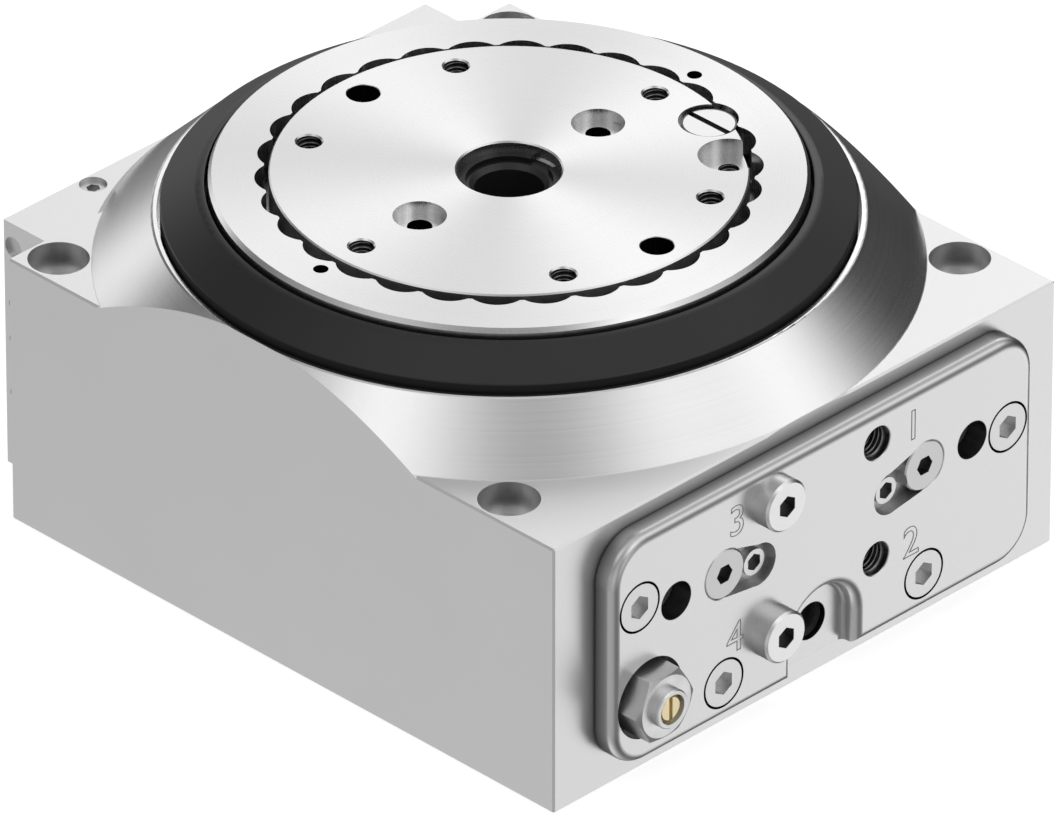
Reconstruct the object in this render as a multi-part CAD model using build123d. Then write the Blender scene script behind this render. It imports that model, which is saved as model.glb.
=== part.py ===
from build123d import *
import os
from math import acos, atan2, cos, pi, radians, sin, sqrt, tan

# Rotary indexing table. Two toothed racks in parallel air cylinders turn a pinion about the
# plate axis. A drive bolt couples the pinion to the hub, which carries the indexing plate on
# a large ball bearing, and a locking bolt holds the plate at its station.
# Millimetres. +Z is the plate axis, z = 0 the mounting face, and the port panel faces -Y.

# Fits between pieces, and how far a cutter reaches past the face that it opens
running_gap = 0.05
free_gap = 0.3
cut_over = 1.0

# Housing block and its tail
housing_half_width = 83.5
housing_front = -98.0
lug_height = 72.4
tail_half_width = 70.2
tail_rear = 99.3
tail_bottom = 3.3
tail_drop = 1.5
edge_chamfer = 0.5

# Conical boss
boss_base_radius = 98.4
boss_top_radius = 84.1
boss_rim_rise = 6.2
boss_rim_fillet = 0.8

# Fixing holes in the lugs
fixing_inset = 8.5
fixing_head_radius = 7.4
fixing_head_depth = 8.5
fixing_hole_radius = 4.5

# Main bearing: balls between an inner and an outer race
bearing_lift = 8.0
bearing_width = 12.0
ball_circle_radius = 65.0
ball_radius = 3.5
ball_count = 36
race_half_gap = 1.0
inner_race_bore = 56.0
outer_race_radius = 74.0
cage_half_height = 3.0
cage_half_thickness = 0.7
cage_pocket_length = 4.0

# Race clamp ring and conical cover ring
clamp_ring_height = 2.4
clamp_ring_radius = 80.0
small_screw_radius = 1.5
small_screw_depth = 8.0
small_head_radius = 2.8
small_head_height = 1.3
clamp_screw_circle_radius = 77.0
clamp_screw_count = 12
cover_radius = 82.1
cover_gap = 0.8
cover_shoulder_rise = 2.2
cover_shoulder_fillet = 0.4
cover_lip_radius = 73.0
cover_lip_rise = 8.0
cover_bore_radius = 71.6
cover_lip_rounding = 1.05
cover_bore_fillet = 0.2
dust_seal_depth = 1.4
dust_seal_height = 3.0
dust_seal_rise = 1.0
dust_seal_slope = 1.0

# Indexing plate: outer ring and inner disc
plate_rise = 10.8
ring_radius = 70.75
ring_drop = 0.6
ring_web_thickness = 5.0
ring_bore_radius = 57.7
ring_edge_width = 0.8
ring_edge_height = 1.1
scallop_count = 30
scallop_radius = 7.4
scallop_circle_radius = 52.5
scallop_relief = 2.0
spanner_hole_circle_radius = 62.0
spanner_hole_radius = 1.8
spanner_hole_depth = 6.0
disc_radius = 56.5
disc_thickness = 9.0
disc_edge = 0.35
disc_screw_circle_radius = 48.75
disc_screw_count = 6
disc_screw_radius = 3.0
disc_screw_mouth = 3.4
dowel_radius = 4.0
dowel_mouth = 4.2
head_recess_spacing = 29.6
head_recess_radius = 6.4
head_recess_depth = 3.0
head_recess_hole = 3.0
disc_bore_radius = 12.45

# Clamp screw pockets in the disc
pocket_circle_radius = 52.0
pocket_radius = 7.4
pocket_depth = 4.0
pocket_count = 2
pocket_first_angle = -20.0
pocket_step_angle = -18.0
pocket_thread_radius = 2.5
clamp_head_radius = 6.6
clamp_head_recess = 0.7
clamp_slot_width = 1.6
clamp_slot_depth = 1.3

# Circlip and sleeve in the centre bore
circlip_depth = 2.8
circlip_thickness = 1.2
circlip_inner_radius = 10.4
circlip_groove_radius = 13.1
circlip_gap_angle = 34.0
sleeve_bore_radius = 8.3
sleeve_lift = 1.0
sleeve_mouth = 1.2

# Hub
hub_bore_radius = 9.5
hub_lift = 1.0
hub_thread_radius = 15.0
hub_tube_radius = 17.0
hub_shoulder_radius = 20.0
hub_flange_lift = 2.0
hub_boss_radius = 30.0
hub_lip_reach = 2.2
plate_screw_circle_radius = 38.0
plate_screw_count = 6
plate_screw_radius = 2.5
plate_head_radius = 4.25
plate_head_height = 3.0
plate_hexagon = 4.0
plate_hexagon_depth = 1.8
plate_screw_inset = 1.0
plate_screw_cover = 3.0
hub_clamp_inner = 44.0
hub_clamp_outer = 60.0
hub_clamp_thickness = 3.0
hub_clamp_screw_circle_radius = 50.0
hub_clamp_screw_count = 6
hub_clamp_screw_depth = 7.0
hub_clamp_head_height = 2.5

# Rack and pinion
tooth_module = 1.5
pinion_teeth = 36
pressure_angle = 20.0
tooth_backlash = 0.2
pinion_width = 10.0
swing_angle = 90.0
cylinder_height = 46.1
cylinder_spacing = 33.4
cylinder_radius = 9.0
cylinder_end_wall = 11.3
rack_half_length = 66.0
rack_toothed_half_length = 35.0
seal_width = 2.2
seal_depth = 1.4
seal_inset = 4.0
magnet_radius = 4.0
magnet_thickness = 3.0
gear_chamber_radius = 31.5
gear_chamber_drop = 8.1

# Drive bolt and drive flange
drive_bolt_circle_radius = 21.0
drive_bolt_radius = 2.0
drive_bolt_length = 10.0
drive_bolt_travel = 4.5
drive_bolt_clearance = 1.0
drive_bolt_chamfer = 0.4
drive_pocket_radius = 2.3
drive_flange_radius = 27.5
drive_flange_gap = 2.5
drive_flange_thickness = 6.4

# Station disc and locking bolt
station_count = 24
station_disc_radius = 44.0
station_disc_thickness = 10.0
notch_mouth_width = 6.4
notch_floor_width = 4.4
station_chamber_radius = 47.0
station_chamber_headroom = 2.9
lock_height = 16.1
lock_bolt_radius = 5.45
lock_bolt_travel = 5.0
lock_bolt_clearance = 1.0
lock_bolt_length = 41.5
lock_tip_width = 4.0
lock_tip_length = 7.0
lock_plug_length = 6.0
lock_plug_inset = 2.0
lock_spring_radius = 2.6
lock_spring_wire = 0.35
lock_spring_turns = 7
lock_spring_bore = 3.3
lock_spring_bore_depth = 14.0
shaft_nut_radius = 23.0
shaft_nut_slot_width = 5.0
shaft_nut_slot_depth = 2.5
lower_bush_radius = 20.5
lower_bush_drop = 2.0
thrust_washer_radius = 26.0

# Bottom cover
bottom_cover_radius = 60.0
bottom_cover_thickness = 6.0
bottom_bore_radius = 9.0
bottom_screw_circle_radius = 54.0
bottom_screw_count = 8
bottom_seal_circle_radius = 50.0
bottom_seal_radius = 1.0

# Port panel
panel_half_width = 70.2
panel_bottom = 6.6
panel_top = 68.3
panel_thickness = 6.0
panel_corner_radius = 11.0
panel_edge_fillet = 2.4
panel_screw_places = [(-61.4, 49.6), (61.5, 44.3), (-33.5, 16.1), (33.5, 16.1)]
panel_head_radius = 6.0
panel_head_bore = 6.6
panel_head_height = 4.5
panel_thread_radius = 3.4
panel_thread_length = 14.0
panel_hexagon = 5.5
hexagon_depth = 3.0
hexagon_turn = 30.0
cylinder_plug_radius = 6.5
cylinder_plug_stem = 5.0
cylinder_plug_reach = 10.0
cylinder_plug_hexagon = 4.5
cylinder_plug_chamfer = 0.35
cylinder_plug_mouth = 0.2
slot_depth = 3.5
slot_radius = 5.6
throttle_spacing = 22.0
throttle_drop = 2.5
throttle_head_radius = 3.4
throttle_recess = 1.6
throttle_hexagon = 4.0
throttle_head_length = 4.0
throttle_needle_radius = 1.4
throttle_bore_length = 12.0
throttle_needle_length = 10.0
sensor_radius = 4.9
sensor_depth = 8.0
sensor_spacing = 49.4
arch_radius = 10.7
arch_depth = 4.5
arch_floor_fillet = 1.5
port_x = 17.3
port_heights = [59.4, 27.5]
plugged_port_heights = [59.4, 23.3]
port_radius = 4.3
port_mouth = 4.55
port_depth = 14.0
port_plug_length = 11.0
plug_head_radius = 6.65
plug_head_height = 4.5
plug_head_chamfer = 0.6
plug_hexagon = 5.0
panel_seal_gap = 0.25
panel_seal_width = 0.65
panel_seal_depth = 1.0

# Shock absorber
absorber_place = (-57.9, 23.3)
absorber_recess_radius = 10.5
absorber_thread_radius = 5.0
absorber_front = -111.4
absorber_end = -52.0
absorber_nut_front = -109.4
absorber_nut_width = 16.6
absorber_rod_radius = 1.5
absorber_rod_reach = 9.0
absorber_rod_travel = 8.0
absorber_bore_reserve = 2.0
absorber_rim_chamfer = 0.3
absorber_adjuster_radius = 3.8
absorber_adjuster_chamfer = 0.9
absorber_adjuster_inset = 0.6
absorber_adjuster_length = 5.0
absorber_slot_width = 1.1
absorber_slot_depth = 1.0
absorber_pocket_radius = 7.0
absorber_pocket_end = -34.0

# Plugged air passages in the tail
passage_inset = 3.7
top_plug_place = (-44.3, 95.2)
top_plug_radius = 3.4
side_plug_heights = [64.3, 48.3, 38.5, 23.5]
side_plug_radii = [2.8, 1.8, 1.8, 1.8]
passage_plug_recess = 1.0
passage_plug_length = 4.0
passage_plug_hexagon = 3.0
passage_hexagon_depth = 2.0

# Heights, from the gears up to the plate
dedendum = 1.25 * tooth_module
pitch_radius = tooth_module * pinion_teeth / 2
tip_radius = pitch_radius + tooth_module
root_radius = pitch_radius - dedendum
pinion_bottom = cylinder_height - pinion_width / 2
pinion_top = cylinder_height + pinion_width / 2
drive_flange_bottom = pinion_top + drive_flange_gap
hub_shoulder_height = drive_flange_bottom + drive_flange_thickness
bearing_bottom = hub_shoulder_height + bearing_lift
bearing_top = bearing_bottom + bearing_width
boss_height = bearing_top + boss_rim_rise
cover_shoulder = boss_height + cover_shoulder_rise
cover_lip_height = boss_height + cover_lip_rise
disc_top = boss_height + plate_rise
ring_top = disc_top - ring_drop
ring_web_top = disc_top - disc_thickness
ring_bottom = ring_web_top - ring_web_thickness
scallop_floor = ring_web_top - scallop_relief
sleeve_bottom = ring_bottom + sleeve_lift
hub_flange_bottom = bearing_bottom + hub_flange_lift
dust_seal_top = ring_web_top + dust_seal_rise
dust_seal_bottom = dust_seal_top - dust_seal_height

# Heights, from the gears down to the mounting face
gear_chamber_floor = cylinder_height - gear_chamber_drop
lower_bush_top = gear_chamber_floor - lower_bush_drop
station_disc_bottom = lock_height - station_disc_thickness / 2
station_disc_top = station_disc_bottom + station_disc_thickness
station_chamber_top = station_disc_top + station_chamber_headroom
hub_bottom = bottom_cover_thickness + hub_lift
throttle_height = cylinder_height - throttle_drop

# Other derived places
housing_rear = housing_half_width
tail_height = lug_height - tail_drop
cylinder_rear = tail_rear - cylinder_end_wall
passage_y = tail_rear - passage_inset
boss_slope = (boss_base_radius - boss_top_radius) / (boss_height - lug_height)
ball_height = bearing_bottom + bearing_width / 2
groove_radius = ball_radius + running_gap
inner_race_radius = ball_circle_radius - race_half_gap
outer_race_bore = ball_circle_radius + race_half_gap
clamp_ring_top = bearing_top + clamp_ring_height
cover_seat_radius = cover_radius + cover_gap
hub_lip_radius = inner_race_bore + hub_lip_reach
panel_face = housing_front - panel_thickness
pocket_floor = disc_top - pocket_depth
circlip_top = disc_top - circlip_depth
circlip_bottom = circlip_top - circlip_thickness
stroke = pitch_radius * radians(swing_angle)
rack_radius = cylinder_radius - running_gap
panel_seal_radius = cylinder_radius + panel_seal_gap
lock_bore_radius = lock_bolt_radius + running_gap
lock_bolt_tip = -station_disc_radius - lock_bolt_clearance
lock_bolt_end = lock_bolt_tip - lock_bolt_length
drive_pocket_depth = drive_bolt_travel + free_gap


def turned(points):
    """A closed profile of (radius, height) points, turned about the plate axis."""
    return revolve(Plane.XZ * make_face(Polyline(*points, close=True)), Axis.Z, 360)


def tube(inner, outer, bottom, top):
    """A ring of rectangular section about the plate axis."""
    return turned([(inner, bottom), (outer, bottom), (outer, top), (inner, top)])


def post(x, y, radius, bottom, top):
    """An upright cylinder."""
    return Pos(x, y, (bottom + top) / 2) * Cylinder(radius, top - bottom)


def rod_y(x, z, radius, front, rear):
    """A cylinder along Y."""
    return Pos(x, (front + rear) / 2, z) * Rot(90, 0, 0) * Cylinder(radius, rear - front)


def cone_y(x, z, front_radius, rear_radius, front, rear):
    """A tapered cylinder along Y."""
    taper = Rot(90, 0, 0) * Cone(rear_radius, front_radius, rear - front)
    return Pos(x, (front + rear) / 2, z) * taper


def front_plane(x, y, z):
    """A drawing plane square to Y and seen from the front, with its own y axis up."""
    return Plane(origin=(x, y, z), x_dir=(1, 0, 0), z_dir=(0, -1, 0))


def hexagon_y(x, z, across_flats, front, rear, turn=0.0):
    """A hexagonal prism along Y, two corners up when turn is 0."""
    outline = RegularPolygon(across_flats / 2, 6, major_radius=False, rotation=90 + turn)
    return extrude(front_plane(x, front, z) * outline, front - rear)


def countersink(x, y, top_radius, bottom_radius, bottom, top):
    """An upright cone between two heights."""
    return Pos(x, y, (bottom + top) / 2) * Cone(bottom_radius, top_radius, top - bottom)


def polar(radius, count, start=0.0):
    """Evenly spaced places on a circle about the plate axis, as (x, y)."""
    angles = [radians(start + 360.0 * i / count) for i in range(count)]
    return [(radius * cos(angle), radius * sin(angle)) for angle in angles]


def group(pieces):
    """Separate solids that share one node."""
    return Compound(children=list(pieces))


def housing():
    front_block = Pos(0, (housing_front + housing_rear) / 2, lug_height / 2) * Box(
        2 * housing_half_width, housing_rear - housing_front, lug_height
    )
    front_block = chamfer(front_block.edges(), edge_chamfer)
    overlap = 2.0
    tail_length = tail_rear - housing_rear + overlap
    tail = Pos(0, tail_rear - tail_length / 2, (tail_bottom + tail_height) / 2) * Box(
        2 * tail_half_width, tail_length, tail_height - tail_bottom
    )
    tail = chamfer(tail.faces().sort_by(Axis.Y)[-1].edges(), edge_chamfer)
    root_height = tail_height - tail_drop
    root = boss_base_radius + boss_slope * (lug_height - root_height)
    boss = turned([
        (0, root_height), (root, root_height), (boss_top_radius, boss_height), (0, boss_height)
    ])
    boss = fillet(boss.edges().filter_by(GeomType.CIRCLE).sort_by(Axis.Z)[-1], boss_rim_fillet)
    main_plan = Pos(0, (housing_front + housing_rear) / 2, boss_height / 2) * Box(
        2 * housing_half_width, housing_rear - housing_front, 2 * boss_height
    )
    tail_plan = Pos(0, tail_rear - tail_length / 2, boss_height / 2) * Box(
        2 * tail_half_width, tail_length, 2 * boss_height
    )
    body = front_block + tail + (boss & (main_plan + tail_plan))
    tube_clearance = hub_tube_radius + free_gap
    race_clearance = outer_race_bore + free_gap
    body -= turned([
        (0, -cut_over), (bottom_cover_radius, -cut_over), (bottom_cover_radius, bottom_cover_thickness),
        (station_chamber_radius, bottom_cover_thickness), (station_chamber_radius, station_chamber_top),
        (lower_bush_radius, station_chamber_top), (lower_bush_radius, lower_bush_top),
        (tube_clearance, lower_bush_top), (tube_clearance, gear_chamber_floor),
        (gear_chamber_radius, gear_chamber_floor), (gear_chamber_radius, hub_shoulder_height),
        (race_clearance, hub_shoulder_height), (race_clearance, bearing_bottom),
        (outer_race_radius, bearing_bottom), (outer_race_radius, bearing_top),
        (cover_seat_radius, bearing_top), (cover_seat_radius, boss_height + cut_over),
        (0, boss_height + cut_over),
    ])
    half_pitch = housing_half_width - fixing_inset
    for x in (-half_pitch, half_pitch):
        for y in (-half_pitch, half_pitch):
            body -= post(x, y, fixing_hole_radius, -cut_over, lug_height)
            body -= post(x, y, fixing_head_radius, lug_height - fixing_head_depth, boss_height)
    sensor_end = panel_face + sensor_depth
    throttle_bore_radius = throttle_needle_radius + free_gap
    throttle_bore_end = housing_front + throttle_bore_length
    for side in (-1, 1):
        x = side * cylinder_spacing
        body -= rod_y(x, cylinder_height, cylinder_radius, housing_front, cylinder_rear)
        body -= seal_ring(x)
        x = side * sensor_spacing
        body -= rod_y(x, cylinder_height, sensor_radius, housing_front, sensor_end)
        x = side * throttle_spacing
        body -= rod_y(x, throttle_height, throttle_bore_radius, housing_front, throttle_bore_end)
    for z in port_heights:
        body -= rod_y(port_x, z, port_radius, housing_front, panel_face + port_depth)
    for z in plugged_port_heights:
        body -= rod_y(-port_x, z, port_radius, housing_front, panel_face + port_depth)
    for x, z in panel_screw_places:
        body -= rod_y(x, z, panel_thread_radius, housing_front, housing_front + panel_thread_length)
    lock_bore_end = lock_bolt_radius - station_chamber_radius
    body -= rod_y(0, lock_height, lock_bore_radius, housing_front, lock_bore_end)
    x, z = absorber_place
    body -= rod_y(x, z, absorber_thread_radius, housing_front, absorber_end + cut_over)
    body -= rod_y(x, z, absorber_pocket_radius, absorber_end, absorber_pocket_end)
    for x, y in polar(clamp_screw_circle_radius, clamp_screw_count):
        body -= post(x, y, small_screw_radius, bearing_top - small_screw_depth, bearing_top)
    small_screw_end = bottom_cover_thickness + small_screw_depth
    for x, y in polar(bottom_screw_circle_radius, bottom_screw_count, 180.0 / bottom_screw_count):
        body -= post(x, y, small_screw_radius, bottom_cover_thickness, small_screw_end)
    plug_depth = passage_plug_recess + passage_plug_length
    body -= post(*top_plug_place, top_plug_radius, tail_height - plug_depth, tail_height + cut_over)
    for z, radius in zip(side_plug_heights, side_plug_radii):
        body -= side_passage(z, radius, 0, plug_depth)
    return body


def seal_ring(x):
    """The square ring that seals a cylinder bore against the panel, which is also its groove."""
    ring = Cylinder(panel_seal_radius + panel_seal_width, panel_seal_depth)
    ring -= Cylinder(panel_seal_radius, panel_seal_depth)
    return Pos(x, housing_front + panel_seal_depth / 2, cylinder_height) * Rot(90, 0, 0) * ring


def side_passage(z, radius, start, end):
    """A cylinder into the tail's side, between two depths."""
    middle = -tail_half_width + (start + end) / 2
    return Pos(middle, passage_y, z) * Rot(0, 90, 0) * Cylinder(radius, end - start)


def passage_plugs():
    top = tail_height - passage_plug_recess
    plug = post(*top_plug_place, top_plug_radius, top - passage_plug_length, top)
    hexagon = RegularPolygon(passage_plug_hexagon / 2, 6, major_radius=False)
    plug -= Pos(*top_plug_place, top) * extrude(hexagon, -passage_hexagon_depth)
    pieces = [plug]
    for z, radius in zip(side_plug_heights, side_plug_radii):
        end = passage_plug_recess + passage_plug_length
        pieces.append(side_passage(z, radius, passage_plug_recess, end))
    return group(pieces)


def port_panel():
    width = 2 * panel_half_width
    height = panel_top - panel_bottom
    middle = (panel_top + panel_bottom) / 2
    outline = RectangleRounded(width, height, panel_corner_radius)
    panel = extrude(front_plane(0, housing_front, middle) * outline, panel_thickness)
    arch_leg = lock_height - panel_bottom + 2 * arch_floor_fillet
    arch = Circle(arch_radius) + Pos(0, -arch_leg / 2) * Rectangle(2 * arch_radius, arch_leg)
    arch = extrude(front_plane(0, panel_face, lock_height) * arch, -arch_depth)
    panel -= fillet(arch.faces().sort_by(Axis.Y)[-1].edges(), arch_floor_fillet)
    panel = fillet(panel.faces().sort_by(Axis.Y)[0].edges(), panel_edge_fillet)
    for x, z in panel_screw_places:
        panel -= rod_y(x, z, panel_thread_radius, panel_face, housing_front)
        panel -= rod_y(x, z, panel_head_bore, panel_face, panel_face + panel_head_height)
    slot_floor = panel_face + slot_depth
    for side in (-1, 1):
        x = side * cylinder_spacing
        panel -= rod_y(x, cylinder_height, cylinder_plug_radius, panel_face, housing_front)
        wide = cylinder_plug_radius + cylinder_plug_mouth
        mouth_end = panel_face + cylinder_plug_mouth
        panel -= cone_y(x, cylinder_height, wide, cylinder_plug_radius, panel_face, mouth_end)
        bore_x = side * sensor_spacing
        panel -= rod_y(bore_x, cylinder_height, sensor_radius, panel_face, housing_front)
        end_x = side * throttle_spacing
        panel -= rod_y(end_x, throttle_height, slot_radius, panel_face, slot_floor)
        taper = Polyline(
            (end_x, throttle_height + slot_radius), (x, cylinder_height + cylinder_plug_radius),
            (x, cylinder_height - cylinder_plug_radius), (end_x, throttle_height - slot_radius), close=True
        )
        panel -= extrude(front_plane(0, panel_face, 0) * make_face(taper), -slot_depth)
        head_bore = throttle_head_radius + running_gap
        panel -= rod_y(end_x, throttle_height, head_bore, panel_face, housing_front)
    panel -= rod_y(0, lock_height, sensor_radius, panel_face, housing_front)
    mouth_end = panel_face + port_mouth - port_radius
    for x, heights in ((port_x, port_heights), (-port_x, plugged_port_heights)):
        for z in heights:
            panel -= rod_y(x, z, port_radius, panel_face, housing_front)
            panel -= cone_y(x, z, port_mouth, port_radius, panel_face, mouth_end)
    x, z = absorber_place
    panel -= rod_y(x, z, absorber_recess_radius, panel_face, housing_front)
    return panel


def port_panel_screws():
    seat = panel_face + panel_head_height
    pieces = []
    for x, z in panel_screw_places:
        screw = rod_y(x, z, panel_head_radius, panel_face, seat)
        screw += rod_y(x, z, panel_thread_radius, seat, housing_front + panel_thread_length)
        screw -= hexagon_y(x, z, panel_hexagon, panel_face, panel_face + hexagon_depth)
        pieces.append(screw)
    return group(pieces)


def cylinder_plugs():
    z = cylinder_height
    slot_cut = slot_radius + running_gap
    pieces = []
    for side in (-1, 1):
        x = side * cylinder_spacing
        plug = rod_y(x, z, cylinder_plug_radius, panel_face, housing_front)
        plug = chamfer(plug.edges().sort_by(Axis.Y)[0], cylinder_plug_chamfer)
        plug += rod_y(x, z, cylinder_plug_stem, housing_front, housing_front + cylinder_plug_reach)
        plug -= hexagon_y(x, z, cylinder_plug_hexagon, panel_face, panel_face + hexagon_depth, hexagon_turn)
        end_x = side * throttle_spacing
        plug -= rod_y(end_x, throttle_height, slot_cut, panel_face, panel_face + slot_depth)
        pieces.append(plug)
    return group(pieces)


def throttle_needle(side):
    """The left needle for side -1 and the right one for side 1."""
    x = side * throttle_spacing
    z = throttle_height
    front = panel_face + throttle_recess
    shoulder = front + throttle_head_length
    needle = rod_y(x, z, throttle_head_radius, front, shoulder)
    needle += rod_y(x, z, throttle_needle_radius, shoulder, housing_front + throttle_needle_length)
    needle -= hexagon_y(x, z, throttle_hexagon, front, front + throttle_head_length / 2)
    return needle


def blanking_plugs():
    front = panel_face - plug_head_height
    pieces = []
    for z in plugged_port_heights:
        plug = rod_y(-port_x, z, plug_head_radius, front, panel_face)
        plug = chamfer(plug.edges().sort_by(Axis.Y)[0], plug_head_chamfer)
        plug += rod_y(-port_x, z, port_radius, panel_face, panel_face + port_plug_length)
        plug -= hexagon_y(-port_x, z, plug_hexagon, front, front + hexagon_depth)
        pieces.append(plug)
    return group(pieces)


def panel_seals():
    return group(seal_ring(side * cylinder_spacing) for side in (-1, 1))


def absorber_body():
    x, z = absorber_place
    body = rod_y(x, z, absorber_thread_radius, absorber_front, absorber_end)
    body = chamfer(body.edges().sort_by(Axis.Y)[0], absorber_rim_chamfer)
    adjuster_bore = absorber_adjuster_radius + running_gap
    adjuster_end = absorber_front + absorber_adjuster_inset + absorber_adjuster_length
    body -= rod_y(x, z, adjuster_bore, absorber_front, adjuster_end)
    rod_bore = absorber_rod_radius + running_gap
    rod_bore_depth = absorber_rod_travel + absorber_rod_reach + absorber_bore_reserve
    body -= rod_y(x, z, rod_bore, absorber_end - rod_bore_depth, absorber_end)
    return body


def absorber_nut():
    x, z = absorber_place
    rear = housing_front
    nut = hexagon_y(x, z, absorber_nut_width, absorber_nut_front, rear, hexagon_turn)
    corner = absorber_nut_width / sqrt(3)
    turned_blank = rod_y(x, z, corner, absorber_nut_front, rear)
    bevel = corner - absorber_nut_width / 2 + free_gap
    turned_blank = chamfer(turned_blank.edges().sort_by(Axis.Y)[0], bevel / 2, bevel)
    return (nut & turned_blank) - rod_y(x, z, absorber_thread_radius, absorber_nut_front, rear)


def absorber_rod():
    x, z = absorber_place
    reach = absorber_rod_reach
    return rod_y(x, z, absorber_rod_radius, absorber_end - reach, absorber_end + reach)


def absorber_adjuster():
    x, z = absorber_place
    front = absorber_front + absorber_adjuster_inset
    end = front + absorber_adjuster_length - running_gap
    adjuster = rod_y(x, z, absorber_adjuster_radius, front, end)
    adjuster = chamfer(adjuster.edges().sort_by(Axis.Y)[0], absorber_adjuster_chamfer)
    slot = Pos(x, front + absorber_slot_depth / 2, z) * Box(
        absorber_slot_width, absorber_slot_depth, 3 * absorber_adjuster_radius
    )
    return adjuster - slot


def race(bore, outer):
    ring = tube(bore, outer, bearing_bottom, bearing_top)
    groove = Torus(ball_circle_radius, groove_radius)
    return ring - Pos(0, 0, ball_height) * groove


def bearing_balls():
    places = polar(ball_circle_radius, ball_count)
    return group(Pos(x, y, ball_height) * Sphere(ball_radius) for x, y in places)


def bearing_cage():
    cage = tube(
        ball_circle_radius - cage_half_thickness, ball_circle_radius + cage_half_thickness,
        ball_height - cage_half_height, bearing_top - free_gap
    )
    pocket = Rot(0, 90, 0) * Cylinder(groove_radius, cage_pocket_length)
    pocket = Pos(ball_circle_radius, 0, ball_height) * pocket
    return cage - [Rot(0, 0, 360.0 * i / ball_count) * pocket for i in range(ball_count)]


def race_clamp_ring():
    ring = tube(outer_race_bore + free_gap, clamp_ring_radius, bearing_top, clamp_ring_top)
    seat = clamp_ring_top - small_head_height
    for x, y in polar(clamp_screw_circle_radius, clamp_screw_count):
        ring -= post(x, y, small_screw_radius, bearing_top, clamp_ring_top)
        ring -= countersink(x, y, small_head_radius, small_screw_radius, seat, clamp_ring_top)
    return ring


def race_clamp_screws():
    seat = clamp_ring_top - small_head_height
    pieces = []
    for x, y in polar(clamp_screw_circle_radius, clamp_screw_count):
        screw = post(x, y, small_screw_radius, bearing_top - small_screw_depth, seat)
        screw += countersink(x, y, small_head_radius, small_screw_radius, seat, clamp_ring_top)
        pieces.append(screw)
    return group(pieces)


def cover_ring():
    ring = turned([
        (cover_bore_radius, clamp_ring_top), (cover_radius, clamp_ring_top), (cover_radius, cover_shoulder),
        (cover_lip_radius, cover_lip_height), (cover_bore_radius, cover_lip_height),
    ])
    ring = fillet(ring.edges().filter_by(GeomType.CIRCLE).sort_by(Axis.Z)[-3], cover_shoulder_fillet)
    lips = ring.edges().filter_by(GeomType.CIRCLE).sort_by(Axis.Z)[-2:].sort_by(SortBy.RADIUS)
    slope = atan2(cover_lip_height - cover_shoulder, cover_radius - cover_lip_radius)
    ring = fillet(lips[-1], cover_lip_rounding / tan(slope / 2))
    lips = ring.edges().filter_by(GeomType.CIRCLE).sort_by(Axis.Z)[-2:].sort_by(SortBy.RADIUS)
    ring = fillet(lips[0], cover_bore_fillet)
    groove_radius = cover_bore_radius + dust_seal_depth
    return ring - tube(cover_bore_radius - cut_over, groove_radius, dust_seal_bottom, dust_seal_top)


def dust_seal():
    inner = ring_radius + free_gap
    outer = cover_bore_radius + dust_seal_depth
    return turned([
        (inner, dust_seal_bottom + dust_seal_slope), (cover_bore_radius, dust_seal_bottom),
        (outer, dust_seal_bottom), (outer, dust_seal_top), (inner, dust_seal_top),
    ])


def index_ring():
    ring = turned([
        (hub_boss_radius, ring_bottom), (ring_radius, ring_bottom), (ring_radius, ring_top - ring_edge_height),
        (ring_radius - ring_edge_width, ring_top), (ring_bore_radius, ring_top),
        (ring_bore_radius, ring_web_top), (hub_boss_radius, ring_web_top),
    ])
    for x, y in polar(scallop_circle_radius, scallop_count, 180.0 / scallop_count):
        ring -= post(x, y, scallop_radius, scallop_floor, ring_top)
    for x, y in polar(spanner_hole_circle_radius, 2):
        ring -= post(x, y, spanner_hole_radius, ring_top - spanner_hole_depth, ring_top)
    for x, y in polar(plate_screw_circle_radius, plate_screw_count, 180.0 / plate_screw_count):
        ring -= post(x, y, plate_screw_radius, ring_bottom, ring_web_top)
        ring -= post(x, y, plate_head_radius, ring_web_top - plate_head_height, ring_web_top)
    for x, y in polar(plate_screw_circle_radius, plate_screw_count):
        ring -= post(x, y, plate_screw_radius, ring_bottom, ring_web_top)
    return ring


def index_disc():
    disc = tube(disc_bore_radius, disc_radius, ring_web_top, disc_top)
    disc = chamfer(disc.edges().filter_by(GeomType.CIRCLE).sort_by(Axis.Z)[-2:], disc_edge)
    mouth = disc_screw_mouth - disc_screw_radius
    for x, y in polar(disc_screw_circle_radius, disc_screw_count):
        disc -= post(x, y, disc_screw_radius, ring_web_top, disc_top)
        disc -= Pos(x, y, disc_top - mouth / 2) * Cone(disc_screw_radius, disc_screw_mouth, mouth)
    dowel_edge = dowel_mouth - dowel_radius
    for side in (-1, 1):
        y = side * disc_screw_circle_radius
        disc -= post(0, y, dowel_radius, ring_web_top, disc_top)
        disc -= Pos(0, y, disc_top - dowel_edge / 2) * Cone(dowel_radius, dowel_mouth, dowel_edge)
        x = side * head_recess_spacing
        disc -= post(x, 0, head_recess_radius, disc_top - head_recess_depth, disc_top)
        disc -= post(x, 0, head_recess_hole, ring_web_top, disc_top)
    for number in range(pocket_count):
        x, y = pocket_place(number)
        disc -= post(x, y, pocket_radius, pocket_floor, disc_top)
        disc -= post(x, y, pocket_thread_radius, ring_web_top, disc_top)
    for x, y in polar(plate_screw_circle_radius, plate_screw_count):
        disc -= post(x, y, plate_screw_radius, ring_web_top, disc_top - plate_screw_cover)
    disc -= tube(disc_bore_radius - cut_over, circlip_groove_radius, circlip_bottom, circlip_top)
    return disc


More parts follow.
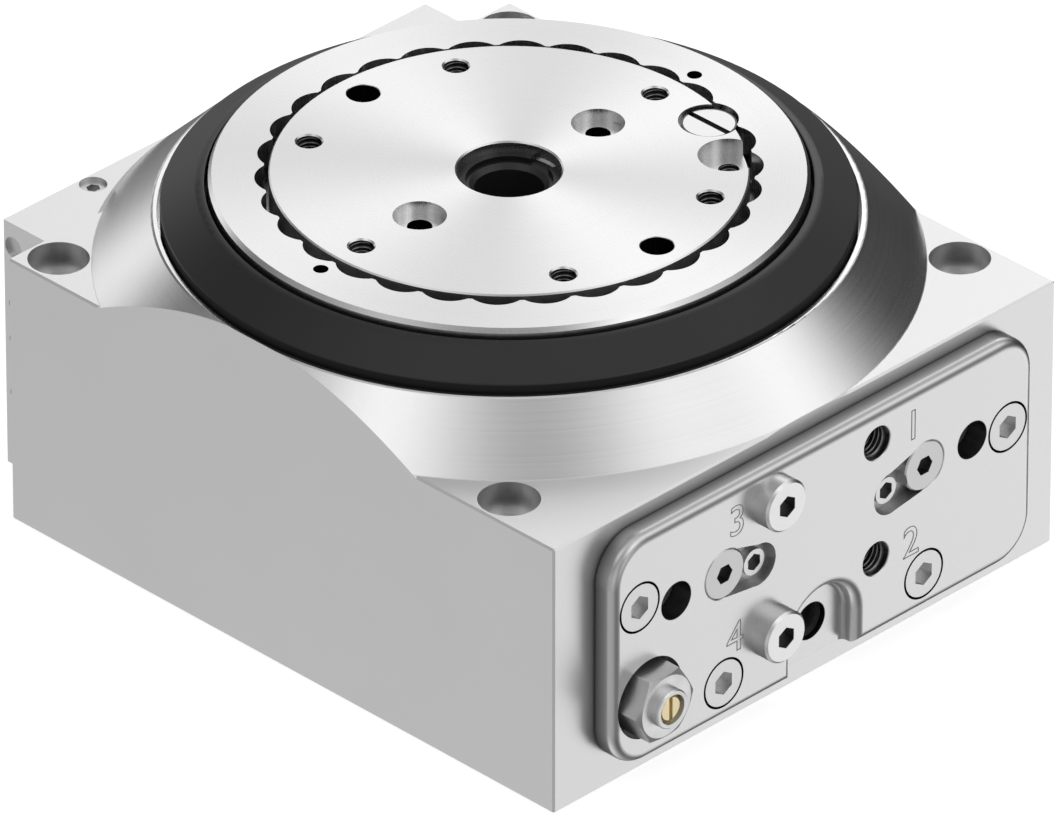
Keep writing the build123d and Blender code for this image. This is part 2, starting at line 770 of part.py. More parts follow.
def pocket_place(number):
    """The middle of a clamp screw pocket, as (x, y)."""
    angle = radians(pocket_first_angle + number * pocket_step_angle)
    return (pocket_circle_radius * cos(angle), pocket_circle_radius * sin(angle))


def clamp_screw():
    x, y = pocket_place(0)
    top = disc_top - clamp_head_recess
    screw = post(x, y, clamp_head_radius, pocket_floor, top)
    screw += post(x, y, pocket_thread_radius, ring_web_top, pocket_floor)
    slot = Box(clamp_slot_width, 3 * clamp_head_radius, clamp_slot_depth)
    return screw - Pos(x, y, top - clamp_slot_depth / 2) * slot


def bore_circlip():
    ring = tube(circlip_inner_radius, circlip_groove_radius - running_gap, circlip_bottom, circlip_top)
    reach = 2 * circlip_groove_radius
    half = radians(circlip_gap_angle / 2)
    outline = Polyline((0, 0), (reach, -reach * tan(half)), (reach, reach * tan(half)), close=True)
    gap = Pos(0, 0, circlip_bottom) * extrude(make_face(outline), circlip_thickness)
    return ring - gap


def bore_sleeve():
    outer = disc_bore_radius - running_gap
    mouth_radius = sleeve_bore_radius + sleeve_mouth
    return turned([
        (sleeve_bore_radius, sleeve_bottom), (outer, sleeve_bottom), (outer, circlip_bottom),
        (mouth_radius, circlip_bottom), (sleeve_bore_radius, circlip_bottom - sleeve_mouth),
    ])


def hub():
    body = turned([
        (hub_bore_radius, hub_bottom), (hub_thread_radius, hub_bottom), (hub_thread_radius, station_disc_top),
        (hub_tube_radius, station_disc_top), (hub_tube_radius, hub_shoulder_height),
        (hub_shoulder_radius, hub_shoulder_height), (hub_shoulder_radius, hub_flange_bottom),
        (inner_race_bore, hub_flange_bottom), (inner_race_bore, bearing_top), (hub_lip_radius, bearing_top),
        (hub_lip_radius, ring_bottom), (hub_boss_radius, ring_bottom), (hub_boss_radius, ring_web_top),
        (disc_bore_radius, ring_web_top), (disc_bore_radius, sleeve_bottom),
        (hub_bore_radius, sleeve_bottom),
    ])
    for x, y in polar(plate_screw_circle_radius, plate_screw_count, 180.0 / plate_screw_count):
        body -= post(x, y, plate_screw_radius, hub_flange_bottom, ring_bottom)
    for x, y in polar(plate_screw_circle_radius, plate_screw_count):
        body -= post(x, y, plate_screw_radius, hub_flange_bottom, ring_bottom)
        body -= post(x, y, plate_head_radius, hub_flange_bottom, hub_flange_bottom + plate_head_height)
    for x, y in polar(hub_clamp_screw_circle_radius, hub_clamp_screw_count, 180.0 / hub_clamp_screw_count):
        thread_end = hub_flange_bottom + hub_clamp_screw_depth
        body -= post(x, y, small_screw_radius, hub_flange_bottom, thread_end)
    return body


def ring_screws():
    hexagon = RegularPolygon(plate_hexagon / 2, 6, major_radius=False)
    seat = ring_web_top - plate_head_height
    pieces = []
    for x, y in polar(plate_screw_circle_radius, plate_screw_count, 180.0 / plate_screw_count):
        screw = post(x, y, plate_head_radius, seat, ring_web_top)
        screw += post(x, y, plate_screw_radius, hub_flange_bottom + plate_screw_inset, seat)
        screw -= Pos(x, y, ring_web_top) * extrude(hexagon, -plate_hexagon_depth)
        pieces.append(screw)
    return group(pieces)


def disc_screws():
    hexagon = RegularPolygon(plate_hexagon / 2, 6, major_radius=False)
    seat = hub_flange_bottom + plate_head_height
    pieces = []
    for x, y in polar(plate_screw_circle_radius, plate_screw_count):
        screw = post(x, y, plate_head_radius, hub_flange_bottom, seat)
        screw += post(x, y, plate_screw_radius, seat, disc_top - plate_screw_cover)
        screw -= Pos(x, y, hub_flange_bottom) * extrude(hexagon, plate_hexagon_depth)
        pieces.append(screw)
    return group(pieces)


def hub_clamp_ring():
    bottom = bearing_bottom - hub_clamp_thickness
    ring = turned([
        (hub_clamp_inner, bottom), (hub_clamp_outer, bottom), (hub_clamp_outer, bearing_bottom),
        (inner_race_bore, bearing_bottom), (inner_race_bore, hub_flange_bottom),
        (hub_clamp_inner, hub_flange_bottom),
    ])
    for x, y in polar(hub_clamp_screw_circle_radius, hub_clamp_screw_count, 180.0 / hub_clamp_screw_count):
        ring -= post(x, y, small_screw_radius, bottom, hub_flange_bottom)
        ring -= post(x, y, small_head_radius, bottom, bottom + hub_clamp_head_height)
    return ring


def hub_clamp_screws():
    bottom = bearing_bottom - hub_clamp_thickness
    seat = bottom + hub_clamp_head_height
    end = hub_flange_bottom + hub_clamp_screw_depth
    pieces = []
    for x, y in polar(hub_clamp_screw_circle_radius, hub_clamp_screw_count, 180.0 / hub_clamp_screw_count):
        screw = post(x, y, small_head_radius, bottom, seat)
        screw += post(x, y, small_screw_radius, seat, end)
        pieces.append(screw)
    return group(pieces)


def involute_point(base, radius, offset):
    """A point of an involute flank: its polar angle is the offset less the roll of the curve."""
    alpha = acos(base / radius)
    angle = offset - (tan(alpha) - alpha)
    return (radius * cos(angle), radius * sin(angle))


def drive_pinion():
    alpha = radians(pressure_angle)
    base = pitch_radius * cos(alpha)
    half_tooth = pi / (2 * pinion_teeth) - tooth_backlash / (4 * pitch_radius)
    offset = half_tooth + tan(alpha) - alpha
    flank_steps = 4
    low = max(root_radius, base)
    radii = [low + (tip_radius - low) * i / flank_steps for i in range(flank_steps + 1)]
    upper = [involute_point(base, radius, offset) for radius in radii]
    lower = [(x, -y) for x, y in upper]
    inside = root_radius - tooth_module / 2
    foot_x = inside * cos(offset)
    foot_y = inside * sin(offset)
    outline = Polyline((foot_x, -foot_y), *lower, *reversed(upper), (foot_x, foot_y), close=True)
    tooth = extrude(make_face(outline), pinion_width)
    gear = tube(hub_tube_radius + running_gap, root_radius, 0, pinion_width)
    gear += [Rot(0, 0, 360.0 * i / pinion_teeth) * tooth for i in range(pinion_teeth)]
    gear = Rot(0, 0, -swing_angle / 2) * gear
    gear -= post(drive_bolt_circle_radius, 0, drive_bolt_radius + running_gap, 0, pinion_width)
    return Pos(0, 0, pinion_bottom) * gear


def rack(side):
    """A toothed rack with a piston at each end. side is -1 on the left and 1 on the right."""
    alpha = radians(pressure_angle)
    pitch_line = cylinder_spacing - pitch_radius
    tip_line = -pitch_line - tooth_module
    root_line = -pitch_line + dedendum
    outer_line = tip_line - tooth_module / 2
    pitch = pi * tooth_module
    half_gap = pitch / 4 + tooth_backlash / 4
    tip_half = half_gap + tooth_module * tan(alpha)
    root_half = half_gap - dedendum * tan(alpha)
    half_length = rack_toothed_half_length
    outside = -2 * cylinder_radius
    flat = Box(tip_line - outside, 2 * half_length, 3 * cylinder_radius)
    bar = Rot(90, 0, 0) * Cylinder(rack_radius, 2 * rack_half_length)
    bar -= Pos((outside + tip_line) / 2, 0, 0) * flat
    outline = Polyline(
        (outer_line, tip_half), (tip_line, tip_half), (root_line, root_half),
        (root_line, -root_half), (tip_line, -tip_half), (outer_line, -tip_half), close=True
    )
    gap = Pos(0, 0, -1.5 * cylinder_radius) * extrude(make_face(outline), 3 * cylinder_radius)
    gaps = int(half_length / pitch)
    bar -= [Pos(0, i * pitch, 0) * gap for i in range(-gaps, gaps + 1)]
    bar = Rot(0, 0, 0 if side > 0 else 180) * bar
    bar -= [Pos(0, y, 0) * piston_groove(2 * rack_radius) for y in seal_places()]
    magnet = Rot(90, 0, 0) * Cylinder(magnet_radius, magnet_thickness)
    bar -= Pos(0, -rack_half_length + magnet_thickness / 2, 0) * magnet
    return Pos(side * cylinder_spacing, rack_rest(side), cylinder_height) * bar


def rack_rest(side):
    """How far the middle of a rack stands from the plate axis, along Y, at rest."""
    return -side * stroke / 2


def seal_places():
    """Where the seals stand along a rack, from its middle."""
    return [end * (rack_half_length - seal_inset - seal_width / 2) for end in (-1, 1)]


def piston_groove(outer):
    """A square ring round a piston, out to the given radius."""
    ring = Cylinder(outer, seal_width) - Cylinder(rack_radius - seal_depth, seal_width)
    return Rot(90, 0, 0) * ring


def piston_seals(side):
    middle = Pos(side * cylinder_spacing, rack_rest(side), cylinder_height)
    return group(middle * Pos(0, y, 0) * piston_groove(rack_radius) for y in seal_places())


def position_magnet(side):
    front = rack_rest(side) - rack_half_length
    rear = front + magnet_thickness
    return rod_y(side * cylinder_spacing, cylinder_height, magnet_radius, front, rear)


def drive_bolt():
    top = drive_flange_bottom - drive_bolt_clearance
    bolt = post(drive_bolt_circle_radius, 0, drive_bolt_radius, top - drive_bolt_length, top)
    return chamfer(bolt.edges().sort_by(Axis.Z)[-1], drive_bolt_chamfer)


def drive_flange():
    flange = tube(hub_tube_radius, drive_flange_radius, drive_flange_bottom, hub_shoulder_height)
    pocket_end = drive_flange_bottom + drive_pocket_depth
    for x, y in polar(drive_bolt_circle_radius, station_count):
        flange -= post(x, y, drive_pocket_radius, drive_flange_bottom, pocket_end)
    return flange


def thrust_washer():
    return tube(hub_tube_radius + free_gap, thrust_washer_radius, gear_chamber_floor, pinion_bottom)


def lower_bush():
    return tube(hub_tube_radius + running_gap, lower_bush_radius, station_chamber_top, lower_bush_top)


def station_disc():
    disc = tube(hub_thread_radius, station_disc_radius, station_disc_bottom, station_disc_top)
    mouth = station_disc_radius + cut_over
    floor = station_disc_radius - lock_bolt_travel
    outline = Polyline(
        (-notch_mouth_width / 2, -mouth), (-notch_floor_width / 2, -floor),
        (notch_floor_width / 2, -floor), (notch_mouth_width / 2, -mouth), close=True
    )
    notch = Pos(0, 0, station_disc_bottom) * extrude(make_face(outline), station_disc_thickness)
    return disc - [Rot(0, 0, 360.0 * i / station_count) * notch for i in range(station_count)]


def shaft_nut():
    nut = tube(hub_thread_radius, shaft_nut_radius, hub_bottom, station_disc_bottom)
    slot = Pos(shaft_nut_radius, 0, (hub_bottom + station_disc_bottom) / 2) * Box(
        2 * shaft_nut_slot_depth, shaft_nut_slot_width, station_disc_bottom - hub_bottom
    )
    return nut - [Rot(0, 0, 90 * i) * slot for i in range(4)]


def locking_bolt():
    bolt = rod_y(0, lock_height, lock_bolt_radius, lock_bolt_end, lock_bolt_tip)
    spring_end = lock_bolt_end + lock_spring_bore_depth
    bolt -= rod_y(0, lock_height, lock_spring_bore, lock_bolt_end, spring_end)
    tip_back = lock_bolt_tip - lock_tip_length
    wide = 2 * lock_bolt_radius
    for side in (-1, 1):
        outline = Polyline(
            (side * lock_tip_width / 2, lock_bolt_tip), (side * notch_mouth_width / 2, tip_back),
            (side * wide, tip_back), (side * wide, lock_bolt_tip), close=True
        )
        bolt -= Pos(0, 0, lock_height - wide) * extrude(make_face(outline), 2 * wide)
    return bolt


def locking_spring():
    seat = housing_front + lock_plug_inset + lock_plug_length
    end = lock_bolt_end + lock_spring_bore_depth
    length = end - seat - 2 * lock_spring_wire
    path = Helix(length / lock_spring_turns, length, lock_spring_radius)
    section = Plane(origin=path @ 0, z_dir=path % 0) * Circle(lock_spring_wire)
    coil = sweep(section, path)
    return Pos(0, seat + lock_spring_wire, lock_height) * Rot(-90, 0, 0) * coil


def lock_bore_plug():
    front = housing_front + lock_plug_inset
    return rod_y(0, lock_height, lock_bore_radius, front, front + lock_plug_length)


def bottom_cover():
    cover = tube(bottom_bore_radius, bottom_cover_radius - running_gap, 0, bottom_cover_thickness)
    cover -= tube(
        bottom_seal_circle_radius - bottom_seal_radius, bottom_seal_circle_radius + bottom_seal_radius,
        bottom_cover_thickness - 2 * bottom_seal_radius, bottom_cover_thickness
    )
    for x, y in polar(bottom_screw_circle_radius, bottom_screw_count, 180.0 / bottom_screw_count):
        cover -= post(x, y, small_screw_radius, 0, bottom_cover_thickness)
        cover -= countersink(x, y, small_screw_radius, small_head_radius, 0, small_head_height)
    return cover


def bottom_cover_seal():
    seal = Torus(bottom_seal_circle_radius, bottom_seal_radius)
    return Pos(0, 0, bottom_cover_thickness - bottom_seal_radius) * seal


def bottom_cover_screws():
    end = bottom_cover_thickness + small_screw_depth
    pieces = []
    for x, y in polar(bottom_screw_circle_radius, bottom_screw_count, 180.0 / bottom_screw_count):
        screw = countersink(x, y, small_screw_radius, small_head_radius, 0, small_head_height)
        screw += post(x, y, small_screw_radius, small_head_height, end)
        pieces.append(screw)
    return group(pieces)


parts = {
    "housing": housing(),
    "passage_plugs": passage_plugs(),
    "port_panel": port_panel(),
    "port_panel_screws": port_panel_screws(),
    "cylinder_plugs": cylinder_plugs(),
    "panel_seals": panel_seals(),
    "throttle_needle_left": throttle_needle(-1),
    "throttle_needle_right": throttle_needle(1),
    "blanking_plugs": blanking_plugs(),
    "absorber_body": absorber_body(),
    "absorber_nut": absorber_nut(),
    "absorber_rod": absorber_rod(),
    "absorber_adjuster": absorber_adjuster(),
    "bearing_outer_race": race(outer_race_bore, outer_race_radius),
    "bearing_inner_race": race(inner_race_bore, inner_race_radius),
    "bearing_balls": bearing_balls(),
    "bearing_cage": bearing_cage(),
    "race_clamp_ring": race_clamp_ring(),
    "race_clamp_screws": race_clamp_screws(),
    "cover_ring": cover_ring(),
    "dust_seal": dust_seal(),
    "index_ring": index_ring(),
    "index_disc": index_disc(),
    "clamp_screw": clamp_screw(),
    "bore_circlip": bore_circlip(),
    "bore_sleeve": bore_sleeve(),
    "hub": hub(),
    "ring_screws": ring_screws(),
    "disc_screws": disc_screws(),
    "hub_clamp_ring": hub_clamp_ring(),
    "hub_clamp_screws": hub_clamp_screws(),
    "drive_pinion": drive_pinion(),
    "rack_left": rack(-1),
    "rack_right": rack(1),
    "piston_seals_left": piston_seals(-1),
    "piston_seals_right": piston_seals(1),
    "position_magnet_left": position_magnet(-1),
    "position_magnet_right": position_magnet(1),
    "drive_bolt": drive_bolt(),
    "drive_flange": drive_flange(),
    "thrust_washer": thrust_washer(),
    "lower_bush": lower_bush(),
    "station_disc": station_disc(),
    "shaft_nut": shaft_nut(),
    "locking_bolt": locking_bolt(),
    "locking_spring": locking_spring(),
    "lock_bore_plug": lock_bore_plug(),
    "bottom_cover": bottom_cover(),
    "bottom_cover_seal": bottom_cover_seal(),
    "bottom_cover_screws": bottom_cover_screws(),
}

os.makedirs("parts", exist_ok=True)
for name, shape in parts.items():
    export_step(shape, f"parts/{name}.step")
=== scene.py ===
from math import cos, pi, radians, sin, tau

import bpy
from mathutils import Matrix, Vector


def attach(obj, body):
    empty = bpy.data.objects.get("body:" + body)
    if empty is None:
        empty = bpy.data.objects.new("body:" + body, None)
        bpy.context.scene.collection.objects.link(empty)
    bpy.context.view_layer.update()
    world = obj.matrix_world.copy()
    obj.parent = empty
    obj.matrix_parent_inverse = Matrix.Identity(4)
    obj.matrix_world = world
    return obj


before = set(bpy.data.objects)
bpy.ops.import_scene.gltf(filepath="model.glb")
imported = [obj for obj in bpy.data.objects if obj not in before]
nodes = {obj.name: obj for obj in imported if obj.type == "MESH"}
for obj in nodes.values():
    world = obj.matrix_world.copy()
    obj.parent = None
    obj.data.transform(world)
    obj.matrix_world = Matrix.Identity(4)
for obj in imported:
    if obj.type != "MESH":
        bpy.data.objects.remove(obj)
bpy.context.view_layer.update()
scene = bpy.context.scene
MM = 0.001

# Camera: a long lens, from the front left and above
AZIMUTH = radians(-45.037)
ELEVATION = radians(31.997)
DISTANCE = 4446.5 * MM
TARGET = Vector((-6.945, -13.174, 40.0)) * MM
back = Vector((sin(AZIMUTH) * cos(ELEVATION), -cos(AZIMUTH) * cos(ELEVATION), sin(ELEVATION)))
camera_data = bpy.data.cameras.new("camera")
camera_data.sensor_width = 36.0
camera_data.lens = 643.3
camera_data.clip_end = 100.0
camera = bpy.data.objects.new("camera", camera_data)
camera.location = TARGET + back * DISTANCE
camera.rotation_euler = back.to_track_quat("Z", "Y").to_euler()
scene.collection.objects.link(camera)
scene.camera = camera
scene.view_settings.view_transform = "Standard"


# The two planes in which holes are placed: seen from above, and seen from the front
TOP = (0, 1)
FRONT = (0, 2)
# Painted shade in bores seen from the front reaches up to this y only
FRONT_BORES_END = -79.0
# Painted sheen: the turned faces of the plate are painted lighter in four fan-shaped sectors, where
# reflections fall; the first stands at this angle
SHEEN_FAN_COUNT = 4.0
SHEEN_FAN_ANGLE = 80.0
# The turned finish of the boss stays off the block's flat sides, just beyond this distance from the middle
FLAT_SIDES = 83.42
# Noise scales, per metre: slow drift of colour, fine lathe lines, broad lathe bands, patches of wear
DRIFT_SCALE = 28.0
LINE_SCALE = 2600.0
BAND_SCALE = 240.0
WEAR_SCALE = 180.0
# How far the shadow on the panel's walls reaches from its seam, and how dark it gets
SEAM_SHADOW_REACH = 5.0
SEAM_SHADOW = 0.85


class Tree:
    """A node tree with short ways to add nodes and to link them."""

    def __init__(self, tree):
        self.tree = tree
        tree.nodes.clear()

    def fill(self, socket, value):
        if isinstance(value, bpy.types.NodeSocket):
            self.tree.links.new(value, socket)
        else:
            socket.default_value = value

    def add(self, kind, sockets=(), **settings):
        node = self.tree.nodes.new(kind)
        for key, value in settings.items():
            setattr(node, key, value)
        for key, value in dict(sockets).items():
            self.fill(node.inputs[key], value)
        return node

    def math(self, operation, first, second=0.0, third=0.0):
        node = self.add("ShaderNodeMath", {0: first, 1: second, 2: third}, operation=operation)
        return node.outputs[0]

    def span(self, value, low, high, new_low, new_high):
        """A value taken linearly from one range to another, and held within it."""
        sockets = {0: value, 1: low, 2: high, 3: new_low, 4: new_high}
        return self.add("ShaderNodeMapRange", sockets).outputs[0]

    def mix(self, factor, first, second, blend="MIX"):
        node = self.add("ShaderNodeMix", data_type="RGBA", blend_type=blend)
        for index, value in ((0, factor), (6, first), (7, second)):
            self.fill(node.inputs[index], value)
        return node.outputs[2]

    def mixed(self, factor, first, second):
        """Two shaders mixed."""
        return self.add("ShaderNodeMixShader", {0: factor, 1: first.outputs[0], 2: second.outputs[0]})

    def noise(self, place, scale, detail):
        sockets = {"Vector": place, "Scale": scale, "Detail": detail, "Roughness": 0.5}
        return self.add("ShaderNodeTexNoise", sockets).outputs["Fac"]

    def line_noise(self, value, scale, roughness):
        sockets = {"W": value, "Scale": scale, "Detail": 3.0, "Roughness": roughness}
        return self.add("ShaderNodeTexNoise", sockets, noise_dimensions="1D").outputs["Fac"]

    def parts(self, vector):
        return self.add("ShaderNodeSeparateXYZ", {0: vector}).outputs

    def reach(self, x, y, centre=(0.0, 0.0)):
        """How far (x, y) lies from a centre given in millimetres."""
        x = self.math("SUBTRACT", x, centre[0] * MM)
        y = self.math("SUBTRACT", y, centre[1] * MM)
        return self.math("SQRT", self.math("MULTIPLY_ADD", x, x, self.math("MULTIPLY", y, y)))


def grey(value):
    return (value, value, value, 1.0)


def scaled(colour, factor):
    return (*[min(1.0, channel * factor) for channel in colour[:3]], 1.0)


def hole_shade(tree, place, axes, holes):
    """Painted shade in holes: how light the metal stays in them, per hole (across, along, radius, lightness,
    and the y it starts at).
    """
    parts = tree.parts(place)
    shade = 1.0
    for across, along, radius, lightness, *start in holes:
        reach = tree.reach(parts[axes[0]], parts[axes[1]], (across, along))
        inside = tree.math("MULTIPLY", tree.math("LESS_THAN", reach, radius * MM), 1.0 - lightness)
        if start:
            inside = tree.math("MULTIPLY", inside, tree.math("GREATER_THAN", parts[1], start[0] * MM))
        shade = tree.math("SUBTRACT", shade, inside)
    if axes == FRONT:
        front = tree.math("LESS_THAN", parts[1], FRONT_BORES_END * MM)
        shade = tree.math("MULTIPLY_ADD", tree.math("SUBTRACT", shade, 1.0), front, 1.0)
    return shade


def turning(tree, place, turned, painted_sheen):
    """Lathe marks round the z axis: their drift, their shade and their lines, with painted sheen in
    fan-shaped sectors added to the shade.
    """
    parts = tree.parts(place)
    radius = tree.reach(parts[0], parts[1])
    lines = tree.line_noise(radius, LINE_SCALE, 0.65)
    bands = tree.line_noise(radius, BAND_SCALE, 0.5)
    both = tree.math("MULTIPLY_ADD", bands, 0.5, lines)
    drift = tree.math("MULTIPLY", tree.math("SUBTRACT", both, 0.75), turned)
    shade = tree.math("MULTIPLY_ADD", drift, 0.30, 1.0)
    # Painted sheen: lighter in fan-shaped sectors round the middle
    if painted_sheen:
        angle = tree.math("ARCTAN2", parts[1], parts[0])
        around = tree.math("MULTIPLY_ADD", angle, SHEEN_FAN_COUNT, -SHEEN_FAN_COUNT * radians(SHEEN_FAN_ANGLE))
        shade = tree.math("MULTIPLY_ADD", tree.math("COSINE", around), painted_sheen, shade)
    return drift, shade, lines


def worn_edges(tree, place, tint, colour, wear, metallic):
    """Lighter colour on edges, in patches."""
    edge = tree.span(tree.add("ShaderNodeNewGeometry").outputs["Pointiness"], 0.52, 0.60, 0.0, wear)
    patches = tree.span(tree.noise(place, WEAR_SCALE, 3.0), 0.35, 0.6, 0.4, 1.0)
    return tree.mix(tree.math("MULTIPLY", edge, patches), tint, scaled(colour, 1.5 if metallic else 3.0))


def seam_shadow(tree, place, tint, colour, seam):
    """Dark behind the seam's y, and a shadow that reaches from it over the walls beside it."""
    dark = scaled(colour, 0.08)
    depth = tree.parts(place)[1]
    normal = tree.parts(tree.add("ShaderNodeTexCoord").outputs["Normal"])
    wall = tree.span(tree.math("ABSOLUTE", normal[1]), 0.5, 0.9, 1.0, 0.0)
    fade = tree.span(depth, (seam - SEAM_SHADOW_REACH) * MM, seam * MM, 0.0, SEAM_SHADOW)
    tint = tree.mix(tree.math("MULTIPLY", wall, fade), tint, dark)
    return tree.mix(tree.math("GREATER_THAN", depth, seam * MM), tint, dark)


def material(
    name, colour, roughness, metallic=1.0, specular=0.5, grain=0.04, grain_scale=900.0, bump=0.02,
    mottle=0.03, wear=0.0, turned=0.0, painted_sheen=0.0, anisotropy=0.0, boss=None, axes=TOP, holes=(), slot_shade=None,
    rim_shade=None, seam=None, below=None
):
    """A finish with drifting colour, and grain in its gloss and its relief.

    boss is the height from which a block is turned, and its gloss there; slot is the x and half width of a
    groove darkened with painted shade; rim is the middle and the radius beyond which a head is darkened with
    painted shade, the shadow of the gap round it; seam is the y of a dark seam, from which a painted shadow
    reaches over the walls beside it; below is the height under which the colour is near black and the gloss
    rougher.
    """
    made = bpy.data.materials.new(name)
    made.use_nodes = True
    tree = Tree(made.node_tree)
    place = tree.add("ShaderNodeTexCoord").outputs["Object"]
    parts = tree.parts(place)
    broad = tree.noise(place, DRIFT_SCALE, 3.0)
    fine = tree.noise(place, grain_scale, 3.0)
    tint = tree.mix(
        tree.span(broad, 0.3, 0.7, 0.0, 1.0), scaled(colour, 1.0 - mottle), scaled(colour, 1.0 + mottle)
    )
    gloss = tree.math("MULTIPLY_ADD", tree.math("SUBTRACT", fine, 0.5), 2.0 * grain, roughness)
    gloss = tree.math("MULTIPLY_ADD", tree.math("SUBTRACT", broad, 0.5), 0.5 * grain, gloss)
    height = fine
    if boss:
        turned_part = tree.span(parts[2], boss[0] * MM, (boss[0] + 0.1) * MM, 0.0, 1.0)
        inside = tree.math("LESS_THAN", tree.math("ABSOLUTE", parts[0]), FLAT_SIDES * MM)
        turned_part = tree.math("MULTIPLY", turned_part, inside)
        gloss = tree.math("MULTIPLY_ADD", turned_part, boss[1] - roughness, gloss)
        turned = tree.math("MULTIPLY", turned_part, turned)
    if turned:
        drift, shade, lines = turning(tree, place, turned, painted_sheen)
        gloss = tree.math("MULTIPLY_ADD", drift, 0.35, gloss)
        tint = tree.mix(1.0, tint, shade, "MULTIPLY")
        height = tree.math("MULTIPLY_ADD", lines, turned, tree.math("MULTIPLY", fine, 0.3))
    if wear:
        tint = worn_edges(tree, place, tint, colour, wear, metallic)
    # Painted shade in holes
    if holes:
        tint = tree.mix(1.0, tint, hole_shade(tree, place, axes, holes), "MULTIPLY")
    # Painted shade in a groove
    if slot_shade:
        off = tree.math("ABSOLUTE", tree.math("SUBTRACT", parts[0], slot_shade[0] * MM))
        tint = tree.mix(tree.math("LESS_THAN", off, slot_shade[1] * MM), tint, scaled(colour, 0.3))
    # A dark seam, and painted shadow from it over the walls beside it
    if seam:
        tint = seam_shadow(tree, place, tint, colour, seam)
    # Painted shade round the edge of a head, the shadow of the gap round it
    if rim_shade:
        edge = tree.math("GREATER_THAN", tree.reach(parts[0], parts[1], rim_shade[:2]), rim_shade[2] * MM)
        tint = tree.mix(edge, tint, scaled(colour, 0.12))
    if below:
        under = tree.math("LESS_THAN", parts[2], below * MM)
        tint = tree.mix(under, tint, grey(0.002))
        gloss = tree.math("MULTIPLY_ADD", under, 0.35, gloss)
    relief = tree.add("ShaderNodeBump", {"Strength": bump, "Distance": 0.00005, "Height": height})
    sockets = {
        "Base Color": tint, "Metallic": metallic, "Roughness": gloss, "Normal": relief.outputs[0],
        "Specular IOR Level": specular,
    }
    if anisotropy:
        sockets["Anisotropic"] = anisotropy
        sockets["Anisotropic Rotation"] = 0.25
        sockets["Tangent"] = tree.add("ShaderNodeTangent", direction_type="RADIAL", axis="Z").outputs[0]
    shader = tree.add("ShaderNodeBsdfPrincipled", sockets)
    tree.add("ShaderNodeOutputMaterial", {"Surface": shader.outputs[0]})
    return made


# Holes darkened with painted shade, as (across, along, radius, how much of the metal's lightness is left in
# them)
# From the panel's front, y in the last place where a hole is dark from there on only
panel_holes = (
    (-49.4, 46.1, 5.0, 0.5), (49.4, 46.1, 5.0, 0.5), (0.0, 16.1, 5.0, 0.5), (17.3, 59.4, 4.4, 0.45),
    (17.3, 27.5, 4.4, 0.45), (-61.4, 49.6, 6.62, 0.2), (61.5, 44.3, 6.62, 0.2), (-33.5, 16.1, 6.62, 0.2),
    (33.5, 16.1, 6.62, 0.2),
)

# From the plate's top: its screw circle, its open pocket's circle and angle, and the clamp screw's middle
SCREW_CIRCLE = 48.75
SCREW_COUNT = 6
POCKET_CIRCLE = 52.0
POCKET_ANGLE = radians(-38.0)
CLAMP_X, CLAMP_Y = 48.86, -17.78
screw_angles = [tau * i / SCREW_COUNT for i in range(SCREW_COUNT)]
pocket_thread_place = (POCKET_CIRCLE * cos(POCKET_ANGLE), POCKET_CIRCLE * sin(POCKET_ANGLE))
disc_holes = (
    *[(SCREW_CIRCLE * cos(angle), SCREW_CIRCLE * sin(angle), 3.02, 0.22) for angle in screw_angles],
    (0.0, SCREW_CIRCLE, 4.05, 0.10), (0.0, -SCREW_CIRCLE, 4.05, 0.10),
    (29.6, 0.0, 3.02, 0.06), (-29.6, 0.0, 3.02, 0.06),
    (*pocket_thread_place, 2.52, 0.22),
)
# Sockets in the plugs and the needles, darkened with painted shade in the same way
plug_sockets = ((-33.4, 46.1, 2.8, 0.35, -103.8), (33.4, 46.1, 2.8, 0.35, -103.8))
needle_sockets = ((-22.0, 43.6, 2.6, 0.35, -102.2), (22.0, 43.6, 2.6, 0.35, -102.2))
blank_sockets = ((-17.3, 59.4, 3.1, 0.30, -108.3), (-17.3, 23.3, 3.1, 0.30, -108.3))
ring_holes = ((62.0, 0.0, 1.82, 0.05), (-62.0, 0.0, 1.82, 0.05))

# Finishes
# Housing: painted shade in the bores of its front
block = material(
    "block_aluminium", grey(0.75), 0.36, grain=0.04, grain_scale=1500, bump=0.04, mottle=0.01, turned=0.3,
    boss=(72.5, 0.20), axes=FRONT, holes=panel_holes
)
# Panel: painted shade in its bores, and painted shadow from its seam over its walls
panel_finish = material(
    "panel_aluminium", grey(0.65), 0.31, seam=-98.35, grain=0.04, grain_scale=1500, bump=0.04, mottle=0.01,
    axes=FRONT, holes=panel_holes
)
# Turned ring and disc: lathe marks, and painted sheen in fan-shaped sectors
turned_ring = material(
    "turned_ring", grey(0.67), 0.27, grain=0.01, turned=0.45, painted_sheen=0.10, anisotropy=0.2, bump=0.04,
    mottle=0.004, holes=ring_holes
)
turned_disc = material(
    "turned_disc", grey(0.67), 0.27, grain=0.01, turned=0.55, painted_sheen=0.12, anisotropy=0.2, bump=0.04,
    mottle=0.004, holes=disc_holes
)
